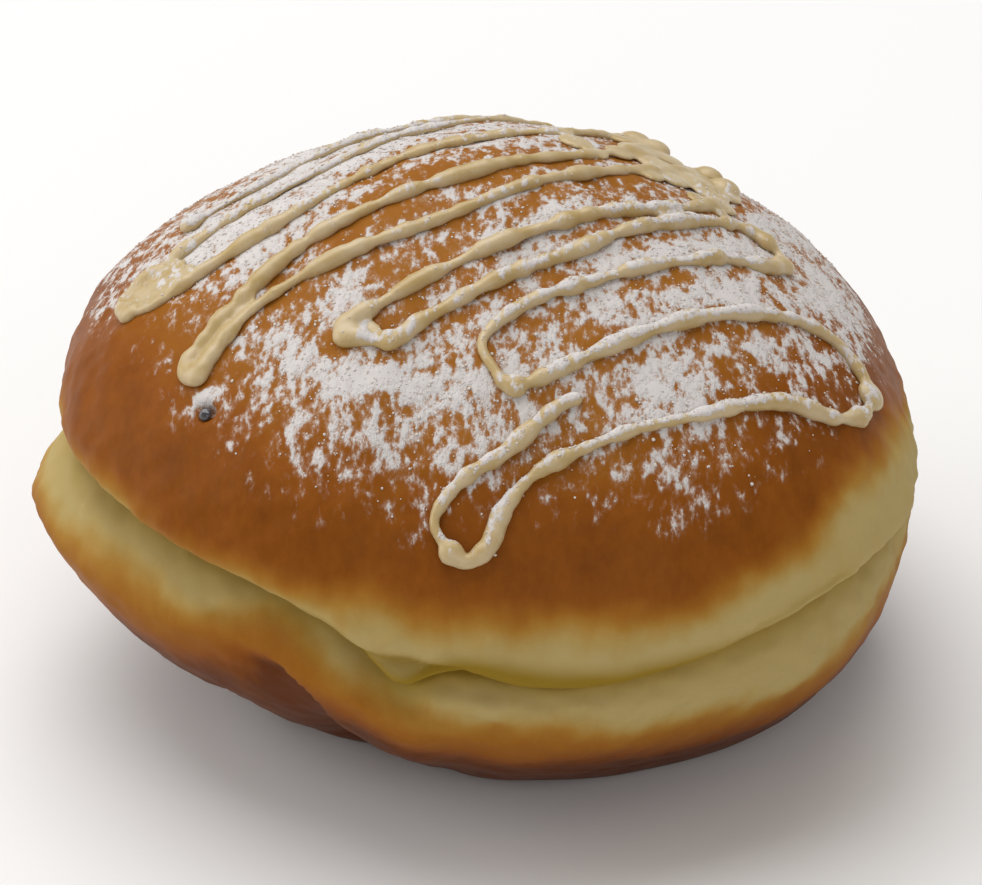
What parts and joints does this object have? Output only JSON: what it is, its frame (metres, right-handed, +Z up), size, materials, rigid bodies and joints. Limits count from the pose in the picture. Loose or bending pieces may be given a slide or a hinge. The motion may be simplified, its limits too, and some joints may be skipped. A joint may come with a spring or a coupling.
{
  "type": "filled doughnut",
  "caption": "Round fried filled bun with a browned cap, a pale creased seam, piped icing drizzle over the top and a flat base to rest on.",
  "frame": {"origin": "centre of the whole outline as seen from above, at the flat of the base that it rests on", "axes": "+Z is up out of the browned cap, -Y is the front, the side with the low loop of the icing, and +X is the right as seen from the front"},
  "size_m": [0.0914, 0.0923, 0.0575],
  "materials": {
    "crust": "satin",
    "icing": "satin",
    "sugar": "matte"
  },
  "bodies": {
    "root": {"beignet": "crust"}
  },
  "joints": []
}
